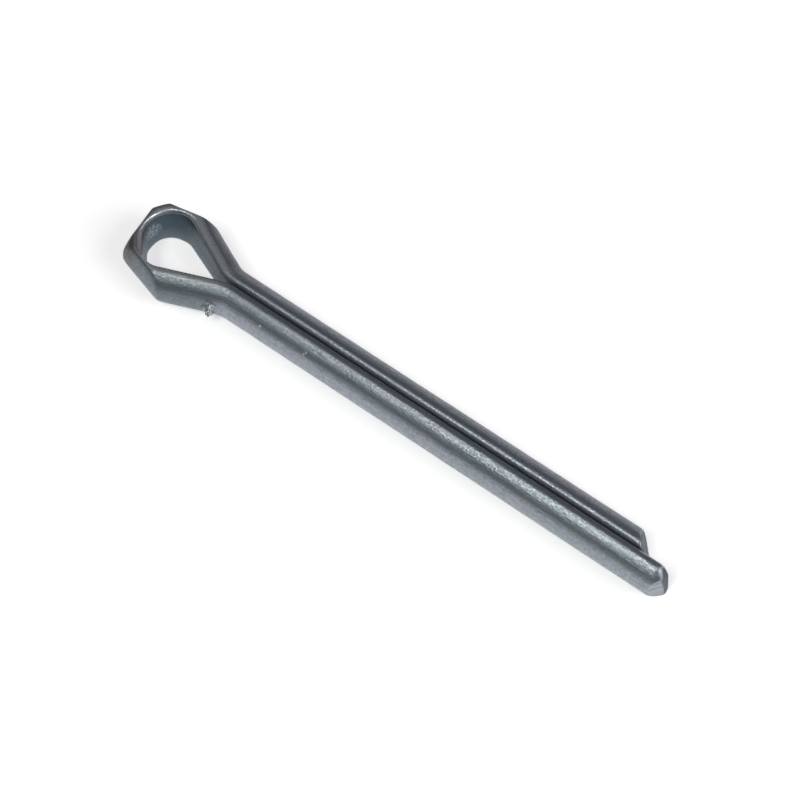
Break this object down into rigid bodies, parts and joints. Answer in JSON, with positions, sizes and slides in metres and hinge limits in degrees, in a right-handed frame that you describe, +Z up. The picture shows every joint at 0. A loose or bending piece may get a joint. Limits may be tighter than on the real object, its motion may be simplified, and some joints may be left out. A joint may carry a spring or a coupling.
{
  "type": "cotter pin",
  "caption": "Split cotter pin: half-round steel wire folded into an open teardrop eye and two straight legs, one longer, with sheared ends.",
  "frame": {"origin": "on the axis of the round shank, at the neck, at the plane where both legs have become straight; the pin lies flat", "axes": "+X along the shank from the eye to the leg ends, +Y across the eye towards the short leg, +Z up along the axis of the eye's hole"},
  "size_m": [0.0581, 0.0085, 0.0042],
  "materials": {
    "zinc_steel": "dull zinc-plated drawn wire, satin, faintly speckled, with bare shear marks on the leg ends"
  },
  "bodies": {
    "root": {"cotter_pin": "zinc_steel"}
  },
  "joints": []
}
